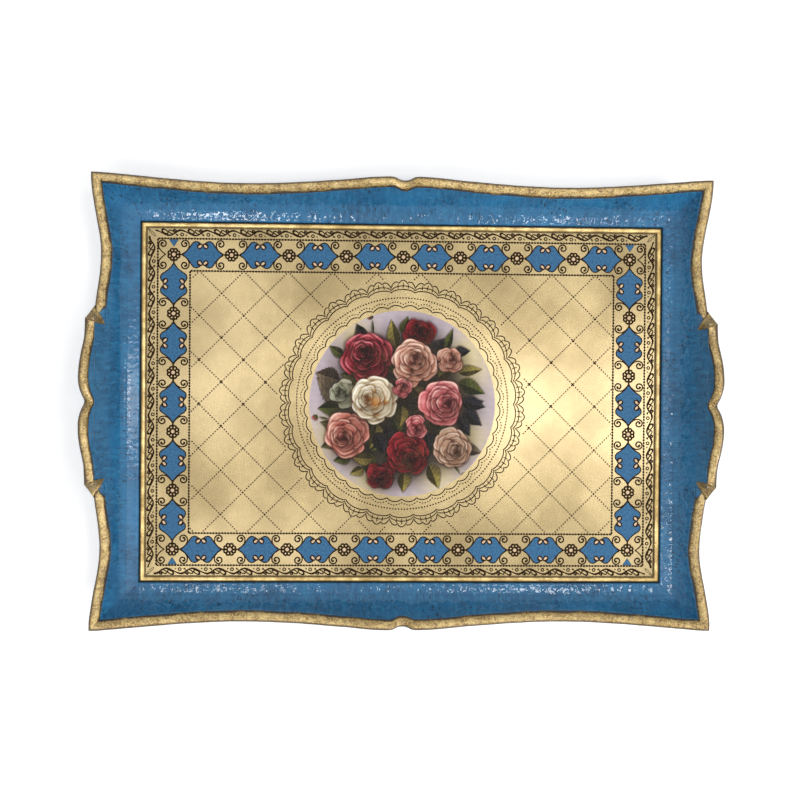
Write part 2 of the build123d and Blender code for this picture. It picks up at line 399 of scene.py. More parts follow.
def smooth_through(at, values):
    """A smooth curve through points that never overshoots between two of them."""
    gaps = np.diff(at)
    slopes = np.diff(values) / gaps
    weight_a, weight_b = 2 * gaps[1:] + gaps[:-1], gaps[1:] + 2 * gaps[:-1]
    with np.errstate(divide="ignore", invalid="ignore"):
        harmonic = (weight_a + weight_b) / (weight_a / slopes[:-1] + weight_b / slopes[1:])
    inner = np.where(slopes[:-1] * slopes[1:] > 0, harmonic, 0)
    tangents = np.array([slopes[0], *inner, slopes[-1]])

    def curve(place):
        place = np.clip(place, at[0], at[-1])
        index = np.clip(np.searchsorted(at, place) - 1, 0, len(gaps) - 1)
        t = (place - at[index]) / gaps[index]
        a, b = values[index], values[index + 1]
        ta, tb = tangents[index] * gaps[index], tangents[index + 1] * gaps[index]
        return ((2 * t**3 - 3 * t**2 + 1) * a + (t**3 - 2 * t**2 + t) * ta
                + (3 * t**2 - 2 * t**3) * b + (t**3 - t**2) * tb)

    return curve


# ---- Rails and crests ----
def hand(place, seed, size):
    """A slow wander along a length, as a carver's hand leaves it, between -1 and 1."""
    total = sum(np.sin(place / (size / k) + seed * 2.4 * k + k * k) / k for k in (1, 2, 3))
    return total / 1.9


def section_columns(base, shape):
    """The wall's section, one entry per point: how the point follows the top edge, and its joint value.

    Each entry takes an array of top edge heights and gives arrays of reach, height and gilt.
    """
    columns = []
    on_crest, flat = shape == "crest", shape == "flat"

    def fixed(reach, height, gilt=-9.0, joint=0):
        columns.append((lambda top: tuple(np.full_like(top, value) for value in (reach, height, gilt)), joint))

    def roll_of(top):
        thinned = np.minimum(roll_height, np.maximum(top - base - 0.35, 0.3)) if on_crest else roll_height
        return np.full_like(top, thinned)

    def gilt_foot(top):
        """The height where the outer side's gilding ends."""
        return top - roll_of(top) - gilding_depth

    def cove_point(share):
        def point(top):
            lowest = base + 0.03 if on_crest else crease[1]
            line = np.full_like(top, base - joint_line) if flat else top - roll_of(top)
            height = lowest + share * (line - lowest)
            sunk = quirk_depth * np.exp(-(((line - height) / 0.7) ** 2)) * smoothstep(1.5, 3, roll_of(top))
            soft = 0.0 if on_crest else 0.8 * np.exp(-(((height - crease[1]) / 2.2) ** 2))
            return cove_reach(height) + sunk - soft, height + soft * 0.4, height - line - 0.3

        columns.append((point, 0))

    def roll_point(angle):
        def point(top):
            roll = roll_of(top)
            height = top - roll + roll * math.sin(angle) ** 0.85
            swell = roll_bulge * math.sin(angle) * (angle < math.pi / 2)
            reach = cove_reach(height) + rim_width / 2 * (1 - math.cos(angle)) - swell
            # Gilding thins to a brown line at both sides of the roll: painted shade where the roll turns down into the
            # groove and over its outer edge.
            clear = (1 - abs(math.cos(angle))) * rim_width / 2
            return reach, height, np.full_like(top, 0.15 + 1.5 * clear)

        columns.append((point, 0))

    def outer_point(share):
        def point(top):
            outer_from = np.full_like(top, base) if flat else top - roll_of(top)
            height = outer_from + share * ((base if on_crest else crease[1]) - outer_from)
            return cove_reach(height) + rim_width, height, height - gilt_foot(top)

        columns.append((point, 0))

    def outer_joint(inset):
        def point(top):
            reach = float(cove_reach(base)) + rim_width - inset
            return np.full_like(top, reach), np.full_like(top, base), base - gilt_foot(top)

        columns.append((point, 1))

    if on_crest:
        fixed(float(cove_reach(base)) + 0.02, base, -3, 1)
        for share in np.linspace(0, 1, crest_cove_points):
            cove_point(share)
    else:
        fixed(0, sheet_top)
        # The toe's edge beside the bead is rounded over, and its crease eased.
        for reach, rise in ((0, -1.5), (0.12, -0.8), (0.45, -0.25), (1.0, 0.08)):
            fixed(reach, toe_height + rise)
        for share in np.linspace(0.14, 0.96, 10):
            reach, height = np.array([0.3, toe_height]) + share * (crease - (0.3, toe_height))
            fixed(reach, height - 0.2 * math.sin(math.pi * share) + 0.3 * share**6)
        for share in np.linspace(0, 1, 34):
            cove_point(share)
    if flat:
        # The handle stretch stops level, for the crest to sit on.
        level = float(cove_reach(base))
        fixed(level, base - joint_line, -3, 1)
        fixed(level + 0.3, base, -3, 1)
        outer_joint(0.3)
        outer_point(0.01)
    else:
        for angle in np.linspace(0, math.pi, 17):
            roll_point(angle)
    if on_crest:
        for share in (0.1, 0.22, 0.34, 0.46, 0.58, 0.7, 0.82, 0.97):
            outer_point(share)
        outer_joint(0.02)
        return columns
    for share in np.linspace(0.04, 1, 16):
        outer_point(share)
    for reach, height in ((foot_reach + 1.1, 6), (foot_reach, 0.6), (foot_reach - 0.6, 0), (rebate_width + 0.5, 0),
                          (rebate_width, 0.5), (rebate_width, sheet_top)):
        fixed(reach, height)
    return columns


def wall_piece(side, stations, top_at, base, shape, mitred, seed):
    """A swept wall. Sections stand square in the middle and turn to the mitres at the ends."""
    columns = section_columns(base, shape)
    count = len(columns)
    stations = np.asarray(stations, float)[:, None] * np.ones(count)
    lean = smoothstep(0.45, 1.0, np.abs(stations) / half_side(side)) * np.sign(stations) * mitred
    along = stations + lean * (full_reach - rim_width / 2)
    for _ in range(5):
        # The top edge belongs to each point's own place along the side.
        tops = top_at(along)
        parts = [columns[k][0](tops[:, k]) for k in range(count)]
        reach, height, gilt = (np.column_stack([part[axis] for part in parts]) for axis in range(3))
        along = stations + lean * reach
    joint = np.ones(stations.shape) * [column[1] for column in columns]
    # How far the gold darkens: none on the crown, most where the roll turns out and down, which is painted shade, and a
    # little at the groove.
    across_roll = (reach - cove_reach(np.minimum(height, handle_top))) / rim_width
    shade_and_patina = smoothstep(0.36, 0.8, across_roll) * 0.95 + 0.2 * (1 - smoothstep(0.0, 0.22, across_roll))
    if shape == "roll" and side in ENDS:
        # The low roll narrows from its inner side and sinks as it comes up to the handle's step.
        taper = (1 - smoothstep(0, 12, np.abs(along) - handle_half)) * (gilt > -6)
        height = height - 1.4 * taper * np.clip(1 - across_roll, 0, 1) * (gilt > 0.1)
        gilt = np.where(taper > 0, np.minimum(gilt, 0.15 + 1.5 * (across_roll * rim_width - 4.4 * taper)), gilt)
    # The carver's hand: the roll swells and thins, and the cove wanders a little.
    inner = np.arange(count) < (crest_cove_points + 2 if shape == "crest" else count / 2)
    roll_part = smoothstep(-1.5, 1.5, gilt)
    upper = smoothstep(crease[1] + 2, 30, height)
    wander = np.abs(hand(along, seed, 17) * 0.22 * upper + hand(along, seed + 3, 5.5) * 0.1 * roll_part)
    reach = reach + np.where(inner, wander * upper, -wander * roll_part * upper) * (1 - joint)
    height = height - np.abs(hand(along, seed + 5, 9)) * 0.18 * roll_part * upper * (shape != "flat") * (1 - joint)
    gilt = gilt + 0.45 * hand(along, seed + 7, 8)
    vertices = to_tray(side, along.ravel(), reach.ravel(), height.ravel())
    values = {"gilt": gilt, "joint": joint, "shade_and_patina": shade_and_patina,
              "along": along * MM, "across": (reach + height) * 0.7 * MM}
    return vertices, tube_faces(len(stations), count), {key: value.ravel() for key, value in values.items()}


def join(parts):
    """Several pieces' vertices, faces and values as one piece's."""
    vertices, faces, values, start = [], [], {}, 0
    for part_vertices, part_faces, part_values in parts:
        vertices.append(part_vertices)
        faces += [tuple(index + start for index in face) for face in part_faces]
        for key, value in part_values.items():
            values.setdefault(key, []).append(value)
        start += len(part_vertices)
    return np.concatenate(vertices), faces, {key: np.concatenate(value) for key, value in values.items()}


def stations_between(low, high, spacing, fine_at=math.inf, fine_width=12.0, fine_spacing=0.5):
    """Places along a side, closer together near a carved notch or step."""
    places = [low]
    while places[-1] < high:
        places.append(places[-1] + (fine_spacing if abs(places[-1] - fine_at) < fine_width else spacing))
    return np.array(places[:-1] + [high])


def filed_crest(side):
    """The crest's sawn edge, filed between the humps into two round lobes that meet in a narrow notch."""
    at, tops = sawn_edge(side + "_handle_crest", side)
    sawn = smooth_through(at, tops)
    hump, notch_bottom, hump_top = abs(at[np.argmax(tops)]), float(sawn(0.0)), float(np.max(tops))

    def curve(place):
        lobe = (np.sin(np.clip(np.hypot(place, 0.7) / hump, 0, 1) * math.pi / 2) ** 0.75 - 0.1) / 0.9
        return np.where(np.abs(place) < hump, notch_bottom + (hump_top - notch_bottom) * lobe, sawn(place))

    return curve


def rounded_end(curve, sign):
    """The low roll's edge, ended in a rounded lobe against the handle's step."""
    def rounded(place):
        near = np.clip(1 - (np.asarray(place) * sign - handle_half - step_width) / 4.5, 0, 1)
        return curve(place) - 0.9 * (1 - np.sqrt(1 - near**2))

    return rounded


for seed, side in enumerate(SIDES):
    half = half_side(side)
    at, tops = sawn_edge(side + "_rail", side)
    if side in ENDS:
        parts = []
        for sign in (-1, 1):
            outer = (at * sign > handle_half - 0.5) & (tops < joint_height - 0.5)
            edge = rounded_end(smooth_through(at[outer], tops[outer]), sign)
            places = stations_between(handle_half, half, 1.5, handle_half + step_width, 6, 0.4) * sign
            parts.append(wall_piece(side, np.sort(places), edge, None, "roll", True, seed + 4))
        middle = stations_between(-handle_half, handle_half, 1.5)
        parts.append(wall_piece(side, middle, filed_crest(side), joint_height, "flat", False, seed + 9))
        vertices, faces, values = join(parts)
    else:
        places = stations_between(-half, half, 1.5, 0)
        vertices, faces, values = wall_piece(side, places, smooth_through(at, tops), None, "roll", True, seed)
    wall = make_object(side + "_wall", vertices, faces, painted_wall, values)
    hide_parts(side + "_rail")

    if side in ENDS:
        places = stations_between(-handle_half, handle_half, 1.0, 0)
        vertices, faces, values = wall_piece(side, places, filed_crest(side), joint_height, "crest", False, seed + 12)
        crest = make_object(side + "_crest", vertices, faces, painted_wall, values)
        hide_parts(side + "_handle_crest")


# ---- Beads: half-round, gilt, mitred ----
def bead(side):
    half = half_side(side)
    profile = [(0, 0), (0, 0.5), (-0.12, 0.9)]
    for angle in np.linspace(0.12, math.pi - 0.12, 13):
        profile.append((-bead_width / 2 * (1 - math.cos(angle)), 1.0 + (bead_top - sheet_top - 1.0) * math.sin(angle)))
    profile += [(-bead_width + 0.12, 0.8), (-bead_width, 0.5), (-bead_width, 0)]
    reach, height = (np.array(profile) + (0, sheet_top)).T
    # Painted highlight and shade: the crown is brightest, the sides darker, and the side towards the wall darkest,
    # painted shade in the crease there.
    across = -reach / bead_width
    gilt = 2.4 * (1 - (2 * across - 1) ** 2) - 1.5 * (1 - smoothstep(0.12, 0.66, across))
    vertices, gilding = [], []
    stations = stations_between(-half, half, 2.5)
    for station in stations:
        # Corner sections follow the mitre; the rest stand square.
        lean = smoothstep(0.9, 1.0, abs(station) / half) * math.copysign(1, station)
        along = station + lean * reach
        worn = np.abs(hand(along, SIDES[side], 13)) * 0.12 * np.sin(np.linspace(0, math.pi, len(profile)))
        vertices.append(to_tray(side, along, reach, height - worn))
        gilding.append(gilt + 0.3 * hand(along, 5, 6))
    strip = make_object(side + "_bead_strip", np.concatenate(vertices), tube_faces(len(stations), len(profile)),
                        gilded_wood, {"gilt": np.concatenate(gilding)})
    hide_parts(side + "_bead")


for side in SIDES:
    bead(side)


def curve_through(points, closed=False, per=6):
    """A Catmull-Rom curve through points."""
    points = np.asarray(points, float)
    count = len(points)
    made = []
    for k in range(count if closed else count - 1):
        if closed:
            p0, p1, p2, p3 = (points[(k + j) % count] for j in (-1, 0, 1, 2))
        else:
            p0, p1, p2, p3 = points[max(k - 1, 0)], points[k], points[k + 1], points[min(k + 2, count - 1)]
        for t in np.linspace(0, 1, per + 1)[:-1]:
            made.append(0.5 * (2 * p1 + (p2 - p0) * t + (2 * p0 - 5 * p1 + 4 * p2 - p3) * t**2
                               + (3 * p1 - p0 - 3 * p2 + p3) * t**3))
    if not closed:
        made.append(points[-1])
    return np.array(made)


def polar(radius, angle):
    return np.column_stack([radius * np.cos(angle), radius * np.sin(angle)])


def turns(count):
    """Even angles once round."""
    return np.linspace(0, 2 * math.pi, count + 1)[:-1]


def turned(points, angle):
    """Points turned about their origin."""
    x, y = np.asarray(points, float).T
    cos, sin = math.cos(angle), math.sin(angle)
    return np.column_stack([x * cos - y * sin, x * sin + y * cos])


def arc(centre, radius, start, end, steps):
    return polar(radius, np.radians(np.linspace(start, end, steps))) + centre


# ---- Spurs: the carved gilt facet at each end of a handle ----
def near_wall(along, rise, inwards):
    """A point by its distance from the handle's end, its rise over the joint, and how deep it lies behind the cove's
    surface: above zero inside the wall, below zero standing proud of it."""
    height = joint_height + rise
    return along, float(cove_reach(height)) + inwards, height


def bend(points, count=15):
    """Evenly picked points of the curve through a few."""
    made = curve_through([near_wall(*point) for point in points], per=8)
    return made[np.round(np.linspace(0, len(made) - 1, count)).astype(int)]


def spur(side, sign):
    """A slanting facet from the crest's end down to the low roll, drawn out to a point on the blue wall."""
    # The sharp ridge first, then the line where the facet meets the crest.
    tip = (-5.0, -10.8, -0.5)
    ridge = bend([(10.0, -5.6, 4.8), (6.4, -4.9, 2.6), (2.4, -5.4, -0.7), (-1.4, -8.4, -0.8), tip])
    meeting = bend([(0.2, 0.9, 7.4), (-1.2, 2.2, 4.2), (-2.8, 2.0, 0.4), (-4.2, -1.2, -1.1), (-4.8, -6.0, -1.0), tip])
    rings = []
    for share, r, m in zip(np.linspace(0, 1, len(ridge)), ridge, meeting):
        sag, sink = 0.3 * (1 - share), 1 - 0.75 * share
        facet = [r + (m - r) * k - (0, 0, sag * math.sin(math.pi * k)) for k in np.linspace(0, 1, 6)]
        ring = np.array([r + (1.4 * sink, 0.6 * sink, -5.5 * sink), r + (0.5 * sink, 0.1, -0.9 * sink), *facet,
                         m + (-0.5 * sink, 0.8 * sink, -0.8 * sink), m + (-0.6 * sink, 2.0 * sink, -10 * sink)])
        # Nothing of the facet's body comes through the wall's outer side.
        ring[:, 1] = np.minimum(ring[:, 1], cove_reach(ring[:, 2]) + rim_width - 0.3)
        rings.append(ring)
    along, reach, height = np.concatenate(rings).T
    faces = tube_faces(len(rings), len(rings[0]))
    if sign > 0:
        faces = [face[::-1] for face in faces]
    # The ridge is bright and the facet behind it brown: a painted highlight on the ridge and painted shade on the
    # facet.
    shade_and_patina = np.tile([0.9, 0.5, 0.0, 0.3, 0.52, 0.56, 0.56, 0.5, 0.6, 0.8], len(rings))
    zeros = np.zeros(len(along))
    return to_tray(side, sign * (handle_half + along), reach, height), faces, {
        "gilt": zeros + 4.0, "joint": zeros, "shade_and_patina": shade_and_patina, "along": zeros, "across": zeros}


for side in ENDS:
    vertices, faces, values = join([spur(side, sign) for sign in (-1, 1)])
    piece = make_object(side + "_spurs", vertices, faces, painted_wall, values, sharp=28)
    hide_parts(side + "_rail")


# ---- Printed ornament: flat strokes, dots and fills a hair above the sheet ----
class Drawing:
    """Flat ink shapes gathered into one mesh. They take turns at twelve heights a hair apart, so that two that
    overlap never lie in one plane."""

    def __init__(self, lift):
        self.lift, self.vertices, self.faces, self.turn = lift, [], [], 0

    def height(self):
        self.turn = (self.turn + 1) % 12
        return sheet_top + self.lift + 0.0015 * self.turn

    def polygon(self, points):
        start, height = len(self.vertices), self.height()
        points = [tuple(point) for point in points]
        area = sum(a[0] * b[1] - b[0] * a[1] for a, b in zip(points, points[1:] + points[:1]))
        if area < 0:
            points = points[::-1]
        self.vertices += [(x, y, height) for x, y in points]
        self.faces.append(tuple(range(start, start + len(points))))

    def dot(self, centre, radius, sides, squash=1.0, turn=0.0):
        self.polygon(turned(polar(radius, turns(sides)) * (1, squash), turn) + centre)

    def stroke(self, points, width, closed=False):
        """A ribbon along points; width is one number or one for each point."""
        points = np.asarray(points, float)
        before, after = np.roll(points, 1, 0), np.roll(points, -1, 0)
        if not closed:
            before[0], after[-1] = points[0], points[-1]
        direction = after - before
        direction /= np.maximum(np.hypot(*direction.T), 1e-9)[:, None]
        normal = np.column_stack([-direction[:, 1], direction[:, 0]]) * (np.ones(len(points)) * width / 2)[:, None]
        left, right = points + normal, points - normal
        start, height, count = len(self.vertices), self.height(), len(points)
        for a, b in zip(left, right):
            self.vertices += [(a[0], a[1], height), (b[0], b[1], height)]
        for k in range(count if closed else count - 1):
            a, b = start + 2 * k, start + 2 * ((k + 1) % count)
            self.faces.append((a, a + 1, b + 1, b))

    def make(self, name, material, slot):
        make_object(name, self.vertices, self.faces, material)


brown, blue, pale, above = Drawing(0.07), Drawing(0.03), Drawing(0.05), Drawing(0.1)

# How far in from the panel's edge each part of the border runs.
rule_inset = 5.9
vine_inset, vine_pitch, vine_swing = 9.8, 23.4, 2.2
outer_chain, band_inset, inner_chain = 14.9, 29.0, 43.4
field_half = np.array([panel_half_x - inner_chain, panel_half_y - inner_chain])


def placed(side, along, inset):
    """Points given along a side and in from the panel's edge, in tray x and y."""
    return to_tray(side, np.asarray(along, float), -np.asarray(inset, float), np.zeros(np.shape(along)))[..., :2]


def placed_shape(side, along, inset, shape):
    """A shape's points, moved to a place on a side."""
    x, y = np.asarray(shape, float).T
    return placed(side, along + x, inset + y)


def rule(side, inset, width):
    """A straight line along one side; gives its half length."""
    half = half_side(side) - inset
    brown.stroke(placed(side, (-half, half), (inset, inset)), width)
    return half


def chain(inset, pitch=2.6, size=1.18):
    """A ring of tiny beads on a thread, square at the corners."""
    for side in SIDES:
        half = rule(side, inset, 0.5)
        count = round(2 * half / pitch)
        for k in range(count):
            brown.dot(placed(side, -half + (k + 0.5) * 2 * half / count, inset), size, 8, 0.82,
                      math.radians(SIDES[side]))


chain(outer_chain)
chain(inner_chain)

# The vine border: a wavy stem, with a ringed tendril in each inner bay and leaves in each outer one.
tendril_ring = arc((0.2, 0), 1.25, 0, 345, 14)
comma = curve_through([(-5.9, -0.4), (-5.0, 1.2), (-4.2, 2.4), (-3.5, 1.4)])
curl = curve_through([(-5.9, -0.8), (-5.3, -2.2), (-3.9, -2.9), (-2.6, -2.4)])
corner_leaf = curve_through([(-3.0, 3.0), (-0.2, 1.4), (3.4, -3.4), (-1.4, 0.2)], closed=True, per=5)
leaf_turn = math.radians(30)
for side in SIDES:
    half = half_side(side)
    reach = half - vine_inset - 3.0
    count = round(2 * reach / vine_pitch)
    pitch = 2 * reach / count
    places = np.arange(-reach, reach + 0.01, 0.6)
    phase = 2 * math.pi * (places + reach) / pitch
    inset = vine_inset - vine_swing * np.cos(phase) + 0.35 * np.sin(2 * phase)
    brown.stroke(placed(side, places, inset), 1.5 + 0.35 * np.cos(phase * 2 + 1.2))
    for k in range(count + 1):
        at = -reach + k * pitch
        # A ring under the stem's arch, with a comma beside it.
        if 0 < k < count:
            brown.stroke(placed_shape(side, at, vine_inset + 1.5, tendril_ring), 1.0, closed=True)
            brown.stroke(placed_shape(side, at, vine_inset, comma), np.linspace(0.7, 1.25, len(comma)))
            brown.stroke(placed_shape(side, at, vine_inset, [(3.4, 1.6), (4.4, 2.6)]), 1.0)
        if k == count:
            break
        # Leaves in the hollow of the stem, each a dark outline round a gilt slit.
        for shift, rise, size in ((-3.4, -0.5, 3.1), (2.5, 0.1, 2.8), (5.6, -1.3, 1.5)):
            leaf = turned(arc((0, 0), size, 0, 345, 16) * (1, 0.46), leaf_turn)
            brown.stroke(placed_shape(side, at + pitch / 2 + shift, vine_inset - 0.7 + rise, leaf), 1.1, closed=True)
        brown.stroke(placed_shape(side, at + pitch / 2, vine_inset, curl), np.linspace(1.2, 0.6, len(curl)))
    # A leaf across each corner's mitre.
    for flip in (-1, 1):
        x, y = corner_leaf.T
        brown.stroke(placed(side, flip * (half - vine_inset + x), vine_inset + y), 0.5, closed=True)

# A thin rule outside the vine.
for side in SIDES:
    rule(side, rule_inset, 0.3)


def spiral(side, along, inset, sign_along, sign_inset):
    """A curl that leaves a cartouche's tip, follows its edge and winds in to a ball."""
    stem = [(-2.6, -9.3), (-0.2, -7.8), (2.4, -5.2), (3.8, -2.4)]
    winding = np.linspace(0.12, 2.35 * math.pi, 22)
    coil = polar(3.8 * (1 - 0.088 * winding), winding)
    points = np.vstack([curve_through([*stem, coil[0]], per=5), coil[1:]]) * (sign_along, sign_inset)
    brown.stroke(placed_shape(side, along, inset, points), np.linspace(1.0, 1.45, len(points)))
    brown.dot(placed(side, along + points[-1, 0] * 0.72, inset + points[-1, 1] * 0.72), 1.05, 9)


def rosette(x, y, radius=5.8):
    """Eight ringed petals round a pale heart."""
    for centre in polar(radius * 0.66, turns(8) + math.pi / 8) + (x, y):
        brown.stroke(arc(centre, radius * 0.27, 0, 336, 12), 1.6, closed=True)
    star = [(2.4, 0), (0.9, 0.9), (0, 2.4), (-0.9, 0.9), (-2.4, 0), (-0.9, -0.9), (0, -2.4), (0.9, -0.9)]
    pale.polygon([(x + dx, y + dy) for dx, dy in star])


quarter = np.array([(18.3, 0), (15.4, 2.2), (12.6, 4.9), (10.6, 7.6), (9.2, 9.8), (7.4, 11.3), (5.4, 11.6), (3.4, 10.9),
                    (1.6, 9.4), (0, 8.3)])
cartouche_outline = curve_through(np.vstack([quarter, (quarter * (-1, 1))[-2::-1], (quarter * (-1, -1))[1:],
                                             (quarter * (1, -1))[-2:0:-1]]), closed=True, per=3)
drop_ground = curve_through([(0.2, 9.4), (2.2, 10.2), (4.3, 9.5), (5.2, 7.4), (4.5, 5.4), (2.7, 4.7), (1.0, 5.6),
                             (0.2, 7.0)], closed=True, per=3)
drop = curve_through([(1.0, 8.6), (2.6, 8.4), (3.8, 7.2), (3.6, 6.1), (2.4, 6.2), (1.3, 7.2)], closed=True, per=3)


def cartouche(side, along):
    """A blue pointed panel whose long edges are pinched by a pair of curls, each holding a pale drop."""
    points = placed_shape(side, along, band_inset, cartouche_outline)
    blue.polygon(points)
    brown.stroke(points, 1.05, closed=True)
    for end in (-1, 1):
        tip = [(end * 16.8, 0), (end * 20.9, 0)]
        brown.stroke(placed_shape(side, along, band_inset, tip), np.array([0.8, 2.0]))
    for up in (-1, 1):
        for flip in (-1, 1):
            brown.polygon(placed_shape(side, along, band_inset, drop_ground * (flip, up)))
            above.polygon(placed_shape(side, along, band_inset, drop * (flip, up)))


for side in SIDES:
    half = half_side(side) - band_inset
    count = 5 if side in ENDS else 8
    pitch = 2 * half / count
    for k in range(count):
        cartouche(side, -half + (k + 0.5) * pitch)
    for k in range(count + 1):
        along = -half + k * pitch
        corner = k in (0, count)
        if corner and side in ENDS:
            # The long sides draw the corners.
            continue
        rosette(*placed(side, along, band_inset))
        for sign_along in (-1, 1):
            for sign_inset in (-1, 1):
                spiral(side, along + sign_along * 9.6, band_inset + sign_inset * 9.3, sign_along, sign_inset)
        if corner:
            points = placed_shape(side, along, outer_chain, [(-4.2, 0.9), (4.2, 0.9), (0, 7.0)])
            blue.polygon(points)
            brown.stroke(points, 0.5, closed=True)

# ---- The field: a dotted lattice, cleared round the lace ring ----
lace_inner, lace_outer, lobes = 98.2, 110.6, 30
node_step = 39.3
first_x = -field_half[0] + 8.3
dot_pitch = 2.55


def field_dot(x, y, size, sides, clear_edge, clear_lace):
    """A dot, if it lies in the field and outside the lace."""
    in_field = abs(x) < field_half[0] - clear_edge and abs(y) < field_half[1] - clear_edge
    if in_field and math.hypot(x, y) > lace_outer + clear_lace:
        brown.dot((x, y), size, sides)


starts = int(4 * sum(field_half) / node_step)
steps = int(2 * field_half[1] * math.sqrt(2) / dot_pitch)
for slope in (-1, 1):
    for k in range(-starts, starts):
        for j in range(steps + 1):
            down = j * dot_pitch / math.sqrt(2)
            field_dot(first_x + k * node_step + slope * down, field_half[1] - down, 0.72, 7, 1.2, 0.8)
for k in range(-12, 14):
    for row in range(13):
        x = first_x + k * node_step + (row % 2) * node_step / 2
        field_dot(x, field_half[1] - row * node_step / 2, 0.95, 8, 1.5, 1.5)


# ---- The lace ring and the dotted circles round the print ----
angles = turns(lobes * 36)
across = 2 * ((angles * lobes / (2 * math.pi)) % 1) - 1
lobe = np.sqrt(np.maximum(0, 1 - 0.92 * across**2))
humps = np.abs(np.sin(1.5 * math.pi * (across + 1)))
for reach, width in ((3.4 + 6.0 * lobe + 2.6 * humps**0.7 * (0.45 + 0.55 * lobe), 0.95), (1.6 + 5.4 * lobe, 0.9),
                     (0.2 + 3.6 * lobe, 0.95)):
    brown.stroke(polar(lace_inner + reach, angles), width, closed=True)
for k in range(lobes):
    for part, low, high in ((-0.42, 4.6, 8.6), (0, 5.0, 9.6), (0.42, 4.6, 8.6)):
        angle = 2 * math.pi * (k + 0.5 + part / 2) / lobes
        brown.stroke(polar(lace_inner + np.array([low, high]), np.array([angle, angle])), 0.8)
ring_dots, scallops = 228, 40
for centre in polar(94.4, turns(ring_dots)):
    brown.dot(centre, 0.78, 7)
angles = turns(scallops * 6)
for centre in polar(88.6 + 2.4 * np.abs(np.sin(angles * scallops / 2)), angles):
    brown.dot(centre, 0.68, 7)
angles = turns(scallops * 14)
brown.stroke(polar(85.3 + 2.6 * np.abs(np.sin(angles * scallops / 2)) ** 0.8, angles), 0.95, closed=True)

brown.make("brown_ornament", brown_ink, "gilt_print")
blue.make("blue_cartouches", blue_ink, "gilt_print")
pale.make("pale_highlights", pale_ink, "gilt_print")
above.make("pale_drops", pale_ink, "gilt_print")


# ---- The round print: a bunch of garden roses, painted petal by petal on a fine disc ----
def disc_mesh(radius, rings):
    """A flat disc of fine triangles between rings of points; gives its rim's first point and count too."""
    points, faces, start, count = [(0.0, 0.0)], [], 0, 1
    for ring in range(1, rings + 1):
        inner_start, inner_count = start, count
        start, count = len(points), round(2 * math.pi * ring)
        reach, angle = radius * ring / rings, turns(count)
        points += list(zip(reach * np.cos(angle), reach * np.sin(angle)))
        if ring == 1:
            faces += [(0, start + k, start + (k + 1) % count) for k in range(count)]
            continue
        inner = outer = 0
        while inner < inner_count or outer < count:
            # Walk both rings together, always stepping on the one that lags.
            here = (inner_start + inner % inner_count, start + outer % count)
            if inner >= inner_count or (outer < count and (outer + 0.5) / count <= (inner + 0.5) / inner_count):
                outer += 1
                faces.append((*here, start + outer % count))
            else:
                inner += 1
                faces.append((*here, inner_start + inner % inner_count))
    return np.array(points), faces, start, count


def tone(red, green, blue):
    return np.array([red, green, blue]) / 255.0


def blend(first, second, share):
    return first * (1 - share) + second * share


